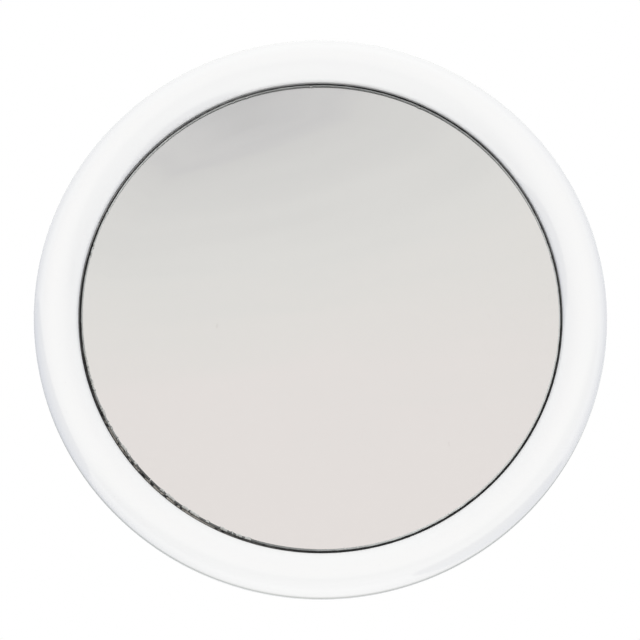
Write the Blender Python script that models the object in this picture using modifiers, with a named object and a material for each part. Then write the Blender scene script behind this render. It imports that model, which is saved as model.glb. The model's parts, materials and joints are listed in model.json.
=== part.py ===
"""Round magnifying mirror that three suction cups hold to a wall.

Every piece is drawn with the mirror lying face up, its depth along +Z measured from the wall.
The empty that carries the pieces then stands the mirror upright: +Z up, the glass facing -Y,
and the wall at Y = 0.
"""

import math

import bmesh
import bpy

# Gaps that keep neighbours apart
CONTACT_GAP = 0.0003
GLASS_GAP = 0.0006
NECK_CLEARANCE = 0.0003
HEAD_CLEARANCE = 0.0004
SCREW_CLEARANCE = 0.0002
CUT_OVERRUN = 0.001
MERGE_DISTANCE = 0.000001

# Glass, concave towards the user and bonded a little off the middle of its recess
GLASS_RADIUS = 0.0637
GLASS_THICKNESS = 0.002
GLASS_CURVE_RADIUS = 0.500
GLASS_ARRIS = 0.00045
GLASS_OFF_CENTRE = 0.00025
GLASS_OFF_CENTRE_ANGLE = math.radians(68)

# Front frame, whose crest and lip stand in front of its widest line
RIM_WIDTH = 0.0119
CREST_WIDTH_SHARE = 0.58
CREST_HEIGHT = 0.0038
LIP_HEIGHT = 0.0020
LIP_ROUND = 0.0008
LIP_ROUND_DEPTH = 0.0015
GLASS_RECESS = 0.0021
RIM_BAND_HEIGHT = 0.0016
FRAME_WALL = 0.002
LEDGE_WIDTH = 0.0056
LEDGE_THICKNESS = 0.0018
LAP_HEIGHT = 0.0012
RIB_THICKNESS = 0.0012

# Foam behind the glass
TAPE_WIDTH = 0.005
TAPE_THICKNESS = 0.001
PAD_RADIUS = 0.015

# Rear cover
COVER_WALL = 0.002
COVER_SHOULDER_WIDTH = 0.014
WELL_DEPTH = 0.006
SCREW_SEAT_THICKNESS = 0.002
POST_RADIUS = 0.0032

# Suction cups
CUP_RADIUS = 0.020
CUP_HEIGHT = 0.012
CUP_LIP_WIDTH = 0.0018
CUP_LIP_THICKNESS = 0.0012
CUP_EDGE_ROUND = 0.0003
CUP_HOLLOW_DEPTH = 0.006
CUP_ROOT_RADIUS = 0.007
CUP_ROOT_DROP = 0.0025
CUP_ROOT_ROUND = 0.0008
NECK_RADIUS = 0.0032
HEAD_RADIUS = 0.0052
HEAD_THICKNESS = 0.0025
HEAD_ROUND = 0.0009
HEAD_ROOM = 0.0005
KEYHOLE_HOLD = 0.0007
CUP_MARGIN = 0.0013
TAB_WIDTH = 0.008
TAB_LENGTH = 0.006
TAB_THICKNESS = 0.0007

# Screws
SCREW_HEAD_RADIUS = 0.0022
SCREW_HEAD_HEIGHT = 0.0018
SCREW_HEAD_ROUND = 0.0006
SCREW_SHANK_RADIUS = 0.0013
SCREW_LENGTH = 0.006
SCREW_TIP_LENGTH = 0.0012
RECESS_WIDTH = 0.0006
RECESS_SPAN = 0.0024
RECESS_DEPTH = 0.001

# Steps round each turned piece
LARGE_STEPS = 72
CUP_STEPS = 28
SMALL_STEPS = 16

# Places round the mirror, anticlockwise from the right as seen from the front
CUP_PLACES = (
    ("suction_cup_right", math.radians(30)),
    ("suction_cup_left", math.radians(150)),
    ("suction_cup_lower", math.radians(270)),
)
SCREW_PLACES = (
    ("screw_top", math.radians(90)),
    ("screw_lower_left", math.radians(210)),
    ("screw_lower_right", math.radians(330)),
)

# Radii that follow
recess_radius = GLASS_RADIUS + GLASS_GAP
frame_radius = recess_radius + RIM_WIDTH
rim_middle = recess_radius + RIM_WIDTH / 2
crest_radius = recess_radius + RIM_WIDTH * CREST_WIDTH_SHARE
leg_radius = recess_radius + FRAME_WALL
ledge_radius = GLASS_RADIUS - LEDGE_WIDTH
outer_leg_radius = frame_radius - FRAME_WALL
post_circle = leg_radius + CONTACT_GAP + POST_RADIUS
hollow_radius = CUP_RADIUS - CUP_LIP_WIDTH
keyhole_radius = HEAD_RADIUS + HEAD_CLEARANCE
slot_radius = NECK_RADIUS + NECK_CLEARANCE
cup_travel = keyhole_radius + NECK_RADIUS + KEYHOLE_HOLD
cup_circle = ledge_radius - CUP_MARGIN - HEAD_RADIUS - cup_travel
well_radius = SCREW_HEAD_RADIUS + SCREW_CLEARANCE
pilot_radius = SCREW_SHANK_RADIUS + SCREW_CLEARANCE


def cup_centre(angle):
    """Where a cup's neck sits, at the closed upper end of its keyhole."""
    return cup_circle * math.cos(angle), cup_circle * math.sin(angle)


def sag(radius, curve_radius):
    """How far a sphere has fallen back from its pole at this radius."""
    return curve_radius - math.sqrt(curve_radius**2 - radius**2)


# Depths that follow, from the wall forwards
cover_back = CUP_HEIGHT + CONTACT_GAP
cover_inside = cover_back + COVER_WALL
head_base = cover_inside + CONTACT_GAP
head_top = head_base + HEAD_THICKNESS
rear_curve_radius = GLASS_CURVE_RADIUS + GLASS_THICKNESS
nearest_head = min(
    math.hypot(x, y - cup_travel) for x, y in (cup_centre(a) for _, a in CUP_PLACES)
) - HEAD_RADIUS
glass_rear_edge = (
    head_top
    + HEAD_ROOM
    + sag(GLASS_RADIUS, rear_curve_radius)
    - sag(max(nearest_head, 0), rear_curve_radius)
)
glass_rear_pole = glass_rear_edge - sag(GLASS_RADIUS, rear_curve_radius)
glass_front_pole = glass_rear_pole + GLASS_THICKNESS
glass_front_edge = glass_front_pole + sag(GLASS_RADIUS, GLASS_CURVE_RADIUS)
lip_front = glass_front_edge + GLASS_RECESS
rim_base = lip_front - LIP_HEIGHT
parting = rim_base - RIM_BAND_HEIGHT
tape_outer_radius = recess_radius - CONTACT_GAP
tape_inner_radius = tape_outer_radius - TAPE_WIDTH
tape_back = glass_rear_edge - CONTACT_GAP - TAPE_THICKNESS
ledge_front = tape_back - CONTACT_GAP
ledge_back = ledge_front - LEDGE_THICKNESS
screw_seat = cover_back + WELL_DEPTH
seat_front = screw_seat + SCREW_SEAT_THICKNESS
post_base = seat_front + CONTACT_GAP
crest_underside = rim_base + CREST_HEIGHT - FRAME_WALL
post_top = crest_underside + FRAME_WALL / 8
screw_base = screw_seat - CONTACT_GAP
screw_tip = screw_base + SCREW_LENGTH


def clear_scene():
    for old in list(bpy.data.objects):
        bpy.data.objects.remove(old, do_unlink=True)


def make_collection(name):
    made = bpy.data.collections.new(name)
    bpy.context.scene.collection.children.link(made)
    return made


def make_material(name, colour, roughness, metallic=0.0):
    made = bpy.data.materials.new(name)
    made.use_nodes = True
    shader = made.node_tree.nodes["Principled BSDF"]
    shader.inputs["Base Color"].default_value = (*colour, 1.0)
    shader.inputs["Roughness"].default_value = roughness
    shader.inputs["Metallic"].default_value = metallic
    return made


def place(name, mesh, material=None, at=(0, 0, 0), turn=0.0):
    """A piece under the empty, or a hidden cutter where it has no material."""
    made = bpy.data.objects.new(name, mesh)
    made.parent = mirror_assembly
    made.location = at
    made.rotation_euler.z = turn
    if material is None:
        cutters.objects.link(made)
        made.hide_render = True
        made.display_type = "WIRE"
    else:
        pieces.objects.link(made)
        if not mesh.materials:
            mesh.materials.append(material)
    return made


def arc(centre, semi_axes, start, end, count):
    """Points on an ellipse, from the start angle to the end angle in degrees, both included."""
    points = []
    for i in range(count + 1):
        angle = math.radians(start + (end - start) * i / count)
        points.append((
            centre[0] + semi_axes[0] * math.cos(angle),
            centre[1] + semi_axes[1] * math.sin(angle),
        ))
    return points


def turned(name, profile, steps, material=None, closed=False, at=(0, 0, 0), turn=0.0):
    """A solid of revolution. The profile of (radius, depth) points runs down the outer side."""
    mesh = bpy.data.meshes.new(name)
    edges = [(i, i + 1) for i in range(len(profile) - 1)]
    if closed:
        edges.append((len(profile) - 1, 0))
    mesh.from_pydata([(radius, 0, depth) for radius, depth in profile], edges, [])
    made = place(name, mesh, material, at, turn)
    spin = made.modifiers.new("turn", "SCREW")
    spin.axis = "Z"
    spin.steps = steps
    spin.render_steps = steps
    spin.use_merge_vertices = True
    spin.merge_threshold = MERGE_DISTANCE
    spin.use_smooth_shade = True
    return made


def cylinder(name, radius, low, high, circle, angle):
    """A hidden cylinder along the depth, at this angle round this circle, for a Boolean."""
    mesh = bpy.data.meshes.new(name)
    form = bmesh.new()
    bmesh.ops.create_cone(
        form, cap_ends=True, segments=SMALL_STEPS, radius1=radius, radius2=radius,
        depth=high - low,
    )
    form.to_mesh(mesh)
    form.free()
    return place(name, mesh, at=(*polar(circle, angle), (low + high) / 2), turn=angle)


def flat_solid(name, outline, low, high, at=(0, 0), turn=0.0):
    """A hidden plate of this outline between two depths, for a Boolean."""
    curve = bpy.data.curves.new(name, "CURVE")
    curve.dimensions = "2D"
    curve.fill_mode = "BOTH"
    curve.extrude = (high - low) / 2
    spline = curve.splines.new("POLY")
    spline.points.add(len(outline) - 1)
    for point, (x, y) in zip(spline.points, outline):
        point.co = (x, y, 0, 1)
    spline.use_cyclic_u = True
    drawn = bpy.data.objects.new(name, curve)
    bpy.context.scene.collection.objects.link(drawn)
    mesh = evaluated_mesh(drawn)
    bpy.data.objects.remove(drawn)
    form = bmesh.new()
    form.from_mesh(mesh)
    bmesh.ops.remove_doubles(form, verts=form.verts, dist=MERGE_DISTANCE)
    bmesh.ops.recalc_face_normals(form, faces=form.faces)
    form.to_mesh(mesh)
    form.free()
    return place(name, mesh, at=(*at, (low + high) / 2), turn=turn)


def evaluated_mesh(obj):
    """The object's mesh with its modifiers, or with its curve's bevel, applied."""
    bpy.context.view_layer.update()
    graph = bpy.context.evaluated_depsgraph_get()
    return bpy.data.meshes.new_from_object(obj.evaluated_get(graph))


def combine(obj, other, operation):
    boolean = obj.modifiers.new(operation.lower() + " " + other.name, "BOOLEAN")
    boolean.operation = operation
    boolean.object = other


def polar(radius, angle):
    return radius * math.cos(angle), radius * math.sin(angle)


def rim_front():
    """The front of the rim, from the recess over the crest to the widest line."""
    count = 8
    lip_radius = recess_radius + LIP_ROUND
    width = crest_radius - lip_radius
    drop = CREST_HEIGHT - LIP_HEIGHT
    curve_radius = (width**2 + drop**2) / (2 * drop)
    crest_front = rim_base + CREST_HEIGHT
    inner_slope = [
        (crest_radius - offset, crest_front - sag(offset, curve_radius))
        for offset in ring_radii(width, count)[:0:-1]
    ]
    outer_round = arc(
        (crest_radius, rim_base), (frame_radius - crest_radius, CREST_HEIGHT), 90, 0, count
    )
    lip_shoulder = (recess_radius + LIP_ROUND / 4, lip_front - LIP_ROUND_DEPTH / 2)
    return [(recess_radius, lip_front - LIP_ROUND_DEPTH), lip_shoulder] + inner_slope + outer_round


def make_front_frame():
    """A ring of U section: round front, outer leg to the parting line, inner leg to the ledge."""
    lap_middle = frame_radius - FRAME_WALL / 2 + CONTACT_GAP / 2
    leg_base = parting + CONTACT_GAP
    lap_top = leg_base + LAP_HEIGHT
    inside = arc(
        (rim_middle, rim_base),
        (RIM_WIDTH / 2 - FRAME_WALL, CREST_HEIGHT - FRAME_WALL), 0, 180, 7,
    )
    profile = rim_front() + [
        (frame_radius, leg_base),
        (lap_middle, leg_base),
        (lap_middle, lap_top),
        (outer_leg_radius, lap_top),
    ] + inside + [
        (leg_radius, ledge_back),
        (ledge_radius, ledge_back),
        (ledge_radius, ledge_front),
        (recess_radius, ledge_front),
    ]
    frame = turned("front_frame", profile, LARGE_STEPS, white_plastic, closed=True)
    for name, angle in SCREW_PLACES:
        post = cylinder(name + "_post", POST_RADIUS, post_base, post_top, post_circle, angle)
        combine(frame, post, "UNION")
        rib_reach = leg_radius - FRAME_WALL / 2
        rib = flat_solid(
            name + "_rib",
            rectangle(rib_reach, post_circle, RIB_THICKNESS),
            post_base, rim_base, turn=angle,
        )
        combine(frame, rib, "UNION")
        pilot = cylinder(
            name + "_pilot", pilot_radius, post_base - CUT_OVERRUN,
            screw_tip + CONTACT_GAP, post_circle, angle,
        )
        combine(frame, pilot, "DIFFERENCE")


def rectangle(start, end, width):
    """An outline that runs along +X from start to end."""
    return [(start, -width / 2), (end, -width / 2), (end, width / 2), (start, width / 2)]


def make_glass():
    """A dish of even curve with a small arris round both faces."""
    rings = 6
    front = [
        (radius, glass_front_pole + sag(radius, GLASS_CURVE_RADIUS))
        for radius in ring_radii(GLASS_RADIUS - GLASS_ARRIS, rings)
    ]
    rear = [
        (radius, glass_rear_pole + sag(radius, rear_curve_radius))
        for radius in ring_radii(GLASS_RADIUS - GLASS_ARRIS, rings)
    ]
    edge = [
        (GLASS_RADIUS, front[-1][1] - GLASS_ARRIS),
        (GLASS_RADIUS, rear[-1][1] + GLASS_ARRIS),
    ]
    x, y = polar(GLASS_OFF_CENTRE, GLASS_OFF_CENTRE_ANGLE)
    turned("mirror_glass", front + edge + rear[::-1], LARGE_STEPS, mirror_silver, at=(x, y, 0))


def ring_radii(outer, count):
    return [outer * i / count for i in range(count + 1)]


def make_tape():
    """A ring of foam tape whose front follows the back of the glass."""
    pole = glass_rear_pole - CONTACT_GAP
    profile = [
        (tape_inner_radius, pole + sag(tape_inner_radius, rear_curve_radius)),
        (tape_outer_radius, pole + sag(tape_outer_radius, rear_curve_radius)),
        (tape_outer_radius, tape_back),
        (tape_inner_radius, tape_back),
    ]
    turned("mirror_tape", profile, LARGE_STEPS, black_foam, closed=True)


def make_centre_pad():
    """A foam disc between the cover and the middle of the glass."""
    front = glass_rear_pole - CONTACT_GAP
    back = cover_inside + CONTACT_GAP
    profile = [(0, front), (PAD_RADIUS, front), (PAD_RADIUS, back), (0, back)]
    turned("centre_pad", profile, CUP_STEPS, black_foam)


def keyhole_outline():
    """A round hole at the slide's lower end and a slot up to the seat at (0, 0)."""
    meet = math.degrees(math.asin(slot_radius / keyhole_radius))
    slot = arc((0, 0), (slot_radius, slot_radius), 0, 180, SMALL_STEPS // 2)
    hole = arc(
        (0, -cup_travel), (keyhole_radius, keyhole_radius), 90 + meet, 450 - meet, SMALL_STEPS
    )
    return slot + hole


def make_rear_cover():
    """A dish with a lap round its edge, three screw wells and three keyholes."""
    lap_middle = frame_radius - FRAME_WALL / 2 - CONTACT_GAP / 2
    lap_top = parting + LAP_HEIGHT
    shoulder_middle = frame_radius - COVER_SHOULDER_WIDTH
    shoulder = arc(
        (shoulder_middle, parting), (COVER_SHOULDER_WIDTH, parting - cover_back), 0, -90, 10
    )
    outside = [(0, lap_top), (lap_middle, lap_top), (lap_middle, parting)]
    outside += shoulder + [(0, cover_back)]
    cover = turned("rear_cover", outside, LARGE_STEPS, white_plastic)

    inner_shoulder = arc(
        (shoulder_middle, parting),
        (COVER_SHOULDER_WIDTH - FRAME_WALL, parting - cover_inside), 0, -90, 8,
    )
    open_top = lap_top + CUT_OVERRUN
    # Half a step round, so that no edge of the cavity meets an edge of the outside.
    cavity = turned(
        "cover_cavity",
        [(0, open_top), (outer_leg_radius, open_top)] + inner_shoulder + [(0, cover_inside)],
        LARGE_STEPS, turn=math.pi / LARGE_STEPS,
    )
    below = cover_back - CUT_OVERRUN
    for name, angle in SCREW_PLACES:
        tube = cylinder(name + "_tube", POST_RADIUS, below, seat_front, post_circle, angle)
        combine(cavity, tube, "DIFFERENCE")
    combine(cover, cavity, "DIFFERENCE")
    for name, angle in SCREW_PLACES:
        well = cylinder(name + "_well", well_radius, below, screw_seat, post_circle, angle)
        combine(cover, well, "DIFFERENCE")
        through = cylinder(
            name + "_through", pilot_radius, below, seat_front + CUT_OVERRUN, post_circle, angle
        )
        combine(cover, through, "DIFFERENCE")
    for name, angle in CUP_PLACES:
        keyhole = flat_solid(
            name + "_keyhole", keyhole_outline(), below, cover_inside + CUT_OVERRUN,
            at=cup_centre(angle),
        )
        combine(cover, keyhole, "DIFFERENCE")


def cup_profile():
    """Head, neck, root, flared skirt, flat lip and hollow, from the top of the axis down."""
    hollow_curve = (hollow_radius**2 + CUP_HOLLOW_DEPTH**2) / (2 * CUP_HOLLOW_DEPTH)

    def hollow(radius):
        return CUP_HOLLOW_DEPTH - sag(min(radius, hollow_radius), hollow_curve)

    root_depth = CUP_HEIGHT - CUP_ROOT_DROP
    root_thickness = root_depth - hollow(CUP_ROOT_RADIUS)
    skirt = []
    count = 7
    for i in range(count + 1):
        share = i / count
        radius = CUP_ROOT_RADIUS + (CUP_RADIUS - CUP_ROOT_RADIUS) * share
        thickness = CUP_LIP_THICKNESS + (root_thickness - CUP_LIP_THICKNESS) * (1 - share) ** 2
        skirt.append((radius, hollow(radius) + thickness))
    head = arc(
        (HEAD_RADIUS - HEAD_ROUND, head_top - HEAD_ROUND), (HEAD_ROUND, HEAD_ROUND), 90, 0, 3
    )
    root = arc(
        (CUP_ROOT_RADIUS - CUP_ROOT_ROUND, CUP_HEIGHT - CUP_ROOT_ROUND),
        (CUP_ROOT_ROUND, CUP_ROOT_ROUND), 90, 0, 3,
    )
    lip = [
        (CUP_RADIUS, CUP_EDGE_ROUND),
        (CUP_RADIUS - CUP_EDGE_ROUND, 0),
        (hollow_radius, 0),
    ]
    inside = [(radius, hollow(radius)) for radius in ring_radii(hollow_radius, 5)[-2::-1]]
    neck = [(HEAD_RADIUS, head_base), (NECK_RADIUS, head_base), (NECK_RADIUS, CUP_HEIGHT)]
    return [(0, head_top)] + head + neck + root + skirt + lip + inside


def tab_outline():
    """A tongue with a round end that runs out past the lip along +X."""
    start = CUP_RADIUS - CUP_LIP_WIDTH / 2
    end = CUP_RADIUS + TAB_LENGTH - TAB_WIDTH / 2
    tip = arc((end, 0), (TAB_WIDTH / 2, TAB_WIDTH / 2), -90, 90, 8)
    return [(start, -TAB_WIDTH / 2)] + tip + [(start, TAB_WIDTH / 2)]


def make_cups():
    """Three cups of one moulding, each with its pull tab pointing away from the middle."""
    pattern = turned("cup_pattern", cup_profile(), CUP_STEPS)
    tab_low = (CUP_LIP_THICKNESS - TAB_THICKNESS) / 2
    tab = flat_solid("cup_tab", tab_outline(), tab_low, tab_low + TAB_THICKNESS)
    combine(pattern, tab, "UNION")
    mesh = evaluated_mesh(pattern)
    mesh.name = "suction_cup"
    mesh.materials.clear()
    for name, angle in CUP_PLACES:
        place(name, mesh, clear_vinyl, at=(*cup_centre(angle), 0), turn=angle)


def make_screws():
    """Pan-head screws with a cross recess, their heads towards the wall."""
    head_back = screw_base - SCREW_HEAD_HEIGHT
    head = arc(
        (SCREW_HEAD_RADIUS - SCREW_HEAD_ROUND, head_back + SCREW_HEAD_ROUND),
        (SCREW_HEAD_ROUND, SCREW_HEAD_ROUND), 0, -90, 3,
    )
    profile = [
        (0, screw_tip),
        (SCREW_SHANK_RADIUS, screw_tip - SCREW_TIP_LENGTH),
        (SCREW_SHANK_RADIUS, screw_base),
        (SCREW_HEAD_RADIUS, screw_base),
    ] + head + [(0, head_back)]
    pattern = turned("screw_pattern", profile, SMALL_STEPS)
    for name, turn in (("recess_across", 0), ("recess_along", math.pi / 2)):
        recess = flat_solid(
            name, rectangle(-RECESS_SPAN / 2, RECESS_SPAN / 2, RECESS_WIDTH),
            head_back - CUT_OVERRUN, head_back + RECESS_DEPTH, turn=turn,
        )
        combine(pattern, recess, "DIFFERENCE")
    mesh = evaluated_mesh(pattern)
    mesh.name = "cover_screw"
    mesh.materials.clear()
    for name, angle in SCREW_PLACES:
        place(name, mesh, bright_steel, at=(*polar(post_circle, angle), 0), turn=angle)


clear_scene()
pieces = make_collection("suction_cup_magnifying_mirror")
cutters = make_collection("cutters")
mirror_assembly = bpy.data.objects.new("mirror_assembly", None)
mirror_assembly.rotation_euler.x = math.pi / 2
pieces.objects.link(mirror_assembly)

white_plastic = make_material("white_plastic", (0.90, 0.90, 0.91), 0.16)
mirror_silver = make_material("mirror_silver", (0.88, 0.89, 0.89), 0.02, metallic=1.0)
black_foam = make_material("black_foam", (0.03, 0.03, 0.03), 0.9)
clear_vinyl = make_material("clear_vinyl", (0.82, 0.86, 0.88), 0.25)
bright_steel = make_material("bright_steel", (0.62, 0.62, 0.64), 0.3, metallic=1.0)

make_front_frame()
make_glass()
make_tape()
make_centre_pad()
make_rear_cover()
make_cups()
make_screws()
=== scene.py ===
import json
import math
import random

import bmesh
import bpy
from mathutils import Matrix, Vector, noise


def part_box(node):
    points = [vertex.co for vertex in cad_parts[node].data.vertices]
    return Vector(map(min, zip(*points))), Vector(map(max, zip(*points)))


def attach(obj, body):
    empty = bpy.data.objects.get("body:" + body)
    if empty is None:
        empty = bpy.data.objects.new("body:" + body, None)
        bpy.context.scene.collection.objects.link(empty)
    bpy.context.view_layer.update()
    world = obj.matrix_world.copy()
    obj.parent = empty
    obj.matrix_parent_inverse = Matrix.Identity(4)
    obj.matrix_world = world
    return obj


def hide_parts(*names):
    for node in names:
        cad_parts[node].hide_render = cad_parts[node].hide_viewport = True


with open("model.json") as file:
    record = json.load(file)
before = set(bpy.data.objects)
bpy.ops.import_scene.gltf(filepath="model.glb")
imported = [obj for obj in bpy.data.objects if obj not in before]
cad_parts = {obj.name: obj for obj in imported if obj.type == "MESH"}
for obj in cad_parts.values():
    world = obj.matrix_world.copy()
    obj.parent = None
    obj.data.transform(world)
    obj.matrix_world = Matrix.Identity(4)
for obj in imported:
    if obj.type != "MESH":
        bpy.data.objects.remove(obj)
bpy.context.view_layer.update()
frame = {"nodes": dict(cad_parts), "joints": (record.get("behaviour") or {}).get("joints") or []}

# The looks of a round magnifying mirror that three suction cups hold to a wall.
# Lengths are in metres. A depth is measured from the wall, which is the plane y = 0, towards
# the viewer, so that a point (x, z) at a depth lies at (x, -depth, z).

# Fineness of the turned pieces
RING_STEPS = 240
GLASS_STEPS = 960
CUP_STEPS = 96
SMALL_STEPS = 40
SHARP_ANGLE = math.radians(32)
GLASS_SHARP_ANGLE = math.radians(20)
OVERRUN = 0.001
TOUCH = 0.00002

# Front frame
RIM_WIDTH = 0.0119
CREST_WIDTH_SHARE = 0.58
CREST_HEIGHT = 0.0038
LIP_HEIGHT = 0.0020
LIP_ROUND = 0.0008
LIP_ROUND_DEPTH = 0.0015
RIM_BAND_HEIGHT = 0.0016
FRAME_WALL = 0.002
LEDGE_THICKNESS = 0.0018
LAP_HEIGHT = 0.0012
PARTING_GAP = 0.0003
EDGE_ROUND = 0.0002
RIB_THICKNESS = 0.0012
POST_WALL_SHARE = 7 / 8

# Glass and its silver
GLASS_THICKNESS = 0.002
GLASS_CURVE_RADIUS = 0.500
GLASS_ARRIS = 0.00045
REAR_ARRIS = 0.00006
BACKING_THICKNESS = 0.0001

# Nicks along the ground edge: how many in each group, and the limits of their angles in
# degrees, of their half widths in radians and of their shares of the full depth
CHIP_GROUPS = (
    (46, (188, 262), (0.004, 0.014), (0.3, 1.0)),
    (16, (-170, 170), (0.003, 0.008), (0.2, 0.6)),
)
CHIP_DEPTH = 0.0004
CHIP_SEED = 7
CHIP_SHOWS_SHARE = 0.25
CHIP_SIDE_SHARE = 0.4

# Foam tape, the black adhesive round the glass, and the foam pad
TAPE_WIDTH = 0.005
BEAD_BELOW_GLASS = 0.0005
BEAD_POINTS = 6
BEAD_SWELL = 0.0002
BEAD_WAVE = 0.00025
BEAD_WAVES_AROUND = 30
BEAD_WAVES_ACROSS = 3.0
BEAD_DROP = 0.0008
BEAD_DROP_ANGLE = math.radians(118)
BEAD_DROP_SPAN = math.radians(55)
PAD_BULGE = 0.0004
PAD_FLAT_SHARE = 0.6

# Rear cover
COVER_WALL = 0.002
COVER_SHOULDER_WIDTH = 0.014
WELL_DEPTH = 0.006
SCREW_SEAT_THICKNESS = 0.002
POST_RADIUS = 0.0032
COVER_CHAMFER = 0.0004
GATE_RADIUS = 0.003
GATE_DEPTH = 0.0003
GATE_PIP_RADIUS = 0.0008
KEYHOLE_RADIUS = 0.0056
SLOT_RADIUS = 0.0035

# Suction cups
CUP_RADIUS = 0.020
CUP_HEIGHT = 0.012
CUP_LIP_WIDTH = 0.0018
CUP_LIP_THICKNESS = 0.0012
CUP_EDGE_ROUND = 0.0003
CUP_HOLLOW_DEPTH = 0.006
CUP_ROOT_RADIUS = 0.007
CUP_ROOT_DROP = 0.0025
CUP_ROOT_ROUND = 0.0008
SKIRT_POINTS = 24
NECK_RADIUS = 0.0032
HEAD_RADIUS = 0.0052
HEAD_THICKNESS = 0.0025
HEAD_ROUND = 0.0009
TAB_WIDTH = 0.008
TAB_LENGTH = 0.006
TAB_THICKNESS = 0.0007
GRIP_COUNT = 3
GRIP_SPACING = 0.0013
GRIP_LENGTH = 0.0022
GRIP_RADIUS = 0.0004

# The rounded top of a grip: shares of its width, its length and its radius as a height
GRIP_LAYERS = ((1.0, 1.0, 0.0), (0.7, 0.92, 0.4), (0.2, 0.8, 0.55))

# Screws
SCREW_HEAD_RADIUS = 0.0022
SCREW_HEAD_HEIGHT = 0.0018
SCREW_HEAD_ROUND = 0.0007
SCREW_CORE_RADIUS = 0.00105
SCREW_THREAD_RADIUS = 0.00138
SCREW_PITCH = 0.0011
SCREW_PLAIN_LENGTH = 0.0008
SCREW_TIP_LENGTH = 0.0012
SCREW_CLEARANCE = 0.0002
PILOT_RADIUS = 0.0015
SCREW_TURN = 1.7
THREAD_ROWS = 56
THREAD_FADE_ROWS = 6
THREAD_HALF_SHARE = 0.3
RECESS_SPAN = 0.0025
RECESS_WIDTH = 0.0007
RECESS_FLOOR_SHARE = 0.6
RECESS_DEPTH = 0.0011

# Colours
PLASTIC_FRONT = (0.93, 0.93, 0.925)
PLASTIC_REAR = (0.90, 0.905, 0.91)
PLASTIC_DUST = (0.55, 0.54, 0.52)
MOTTLE_SHARE = 0.993
CLEAR_TINT = (0.985, 0.995, 0.99)
CLEAR_SPECK = (0.72, 0.70, 0.68)
SIDE_DRY = ((0.88, 0.90, 0.89), (0.93, 0.94, 0.93))
SIDE_WET = (0.03, 0.03, 0.03)
GROUND_DRY = ((0.78, 0.81, 0.79), (0.93, 0.94, 0.93))
GROUND_WET = ((0.05, 0.05, 0.05), (0.16, 0.165, 0.16))
FOAM_TONES = ((0.010, 0.010, 0.010), (0.035, 0.035, 0.036))
FOAM_DUST = (0.46, 0.43, 0.39)
# Painted light: the pale colour painted on the adhesive by the recess wall
FOAM_PAINTED_LIGHT = (0.78, 0.77, 0.76)
FLOOR_TONES = ((0.92, 0.92, 0.92), (0.94, 0.94, 0.94))
WHITE = (1.0, 1.0, 1.0)

# Fine patterns of the materials. Most of a noise lies within its span.
NOISE_SPAN = (0.3, 0.7)
MOTTLE_SCALE = 90.0
PEEL_SCALE = 700.0
PEEL_DEPTH = 0.0002
ROUGHNESS_STEPS = (-0.02, 0.03)
COAT_ROUGHNESS = 0.01
DUST_SCALE = 2600.0
DUST_SPAN = (0.80, 0.84)
DUST_SHARE = 0.5
SPECK_SCALE = 900.0
SPECK_SPAN = (0.83, 0.85)
HAZE_SCALE = 45.0
HAZE_SPAN = (0.5, 0.9)
WETTING_SCALE = 160.0
WETTING_WANDER = (-0.02, 0.02)
SIDE_STREAK_SCALE = 300.0
GRINDING_SCALE = 2500.0
CELL_SCALE = 1600.0
CELL_SPAN = (0.0, 0.7)
CAUGHT_SCALE = 700.0
CAUGHT_SPAN = (0.38, 0.52)
FLOOR_SCALE = 12.0
SOFT_EDGE = 0.0001

# Refraction
PLASTIC_IOR = 1.5
GLASS_IOR = 1.52
VINYL_IOR = 1.53

# How dark the adhesive has made the ground edge: the angle in degrees and a share
EDGE_WETNESS = (
    (-180, 0.35), (-145, 0.70), (-135, 0.95), (-110, 0.85), (-90, 0.60), (-70, 0.10),
    (-45, 0.0), (0, 0.0), (30, 0.25), (60, 0.45), (90, 0.50), (120, 0.30), (140, 0.10),
    (155, 0.10), (180, 0.35),
)

# How much pale dust the adhesive holds, and the limits of the ring that holds it
EDGE_DUST = (
    (-180, 0.0), (-158, 0.1), (-148, 0.7), (-125, 0.9), (-112, 0.2), (-90, 0.0), (180, 0.0),
)
DUSTY_BAND = (0.0635, 0.0639)

# Painted light: how pale the adhesive is painted against the wall of the recess, standing in for
# light on that wall, and where that begins
EDGE_PAINTED_LIGHT = (
    (-180, 0.35), (-165, 0.0), (-20, 0.0), (0, 0.15), (30, 0.35), (55, 0.0), (92, 0.0),
    (108, 0.6), (150, 0.7), (180, 0.35),
)
PAINTED_LIGHT_RADIUS = 0.0641

# The photograph's view
VIEW_AZIMUTH = math.radians(-0.75)
VIEW_ELEVATION = math.radians(-13.45)
VIEW_DISTANCE = 1.5
VIEW_BEHIND_RIM = 0.00057
VIEW_SLIP = (-0.00015, -0.0009)
VIEW_CLIP = (0.01, 100.0)
IMAGE_WIDTH = 640
PIXELS_PER_METRE = 3761.5
SENSOR_WIDTH = 36.0

# The room's tones by the height of a direction: 0 is straight down, and 1 straight up
FULL_SPAN = (-1.0, 1.0)
ROOM_TONES = (
    (0.20, (0.80, 0.80, 0.80)),
    (0.46, (0.47, 0.465, 0.47)),
    (0.502, (0.525, 0.515, 0.52)),
    (0.510, (0.570, 0.559, 0.562)),
    (0.518, (0.650, 0.635, 0.638)),
    (0.526, (0.688, 0.673, 0.666)),
    (0.540, (0.714, 0.699, 0.689)),
    (0.585, (0.780, 0.762, 0.745)),
    (0.610, (0.806, 0.777, 0.757)),
    (0.657, (0.834, 0.785, 0.770)),
    (0.72, (0.840, 0.786, 0.770)),
    (0.90, (0.93, 0.91, 0.90)),
)

# How far the tones lean and waver at the low and the high limit of these heights
LEAN_HEIGHTS, LEANS = (0.08, 0.22), (-0.40, -0.08)
CALM_HEIGHTS, CALMS = (0.02, 0.12), (0.25, 1.0)
STREAK_STRETCH = (2.4, 30.0)
STREAK_WANDER = (-0.026, 0.026)

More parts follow.
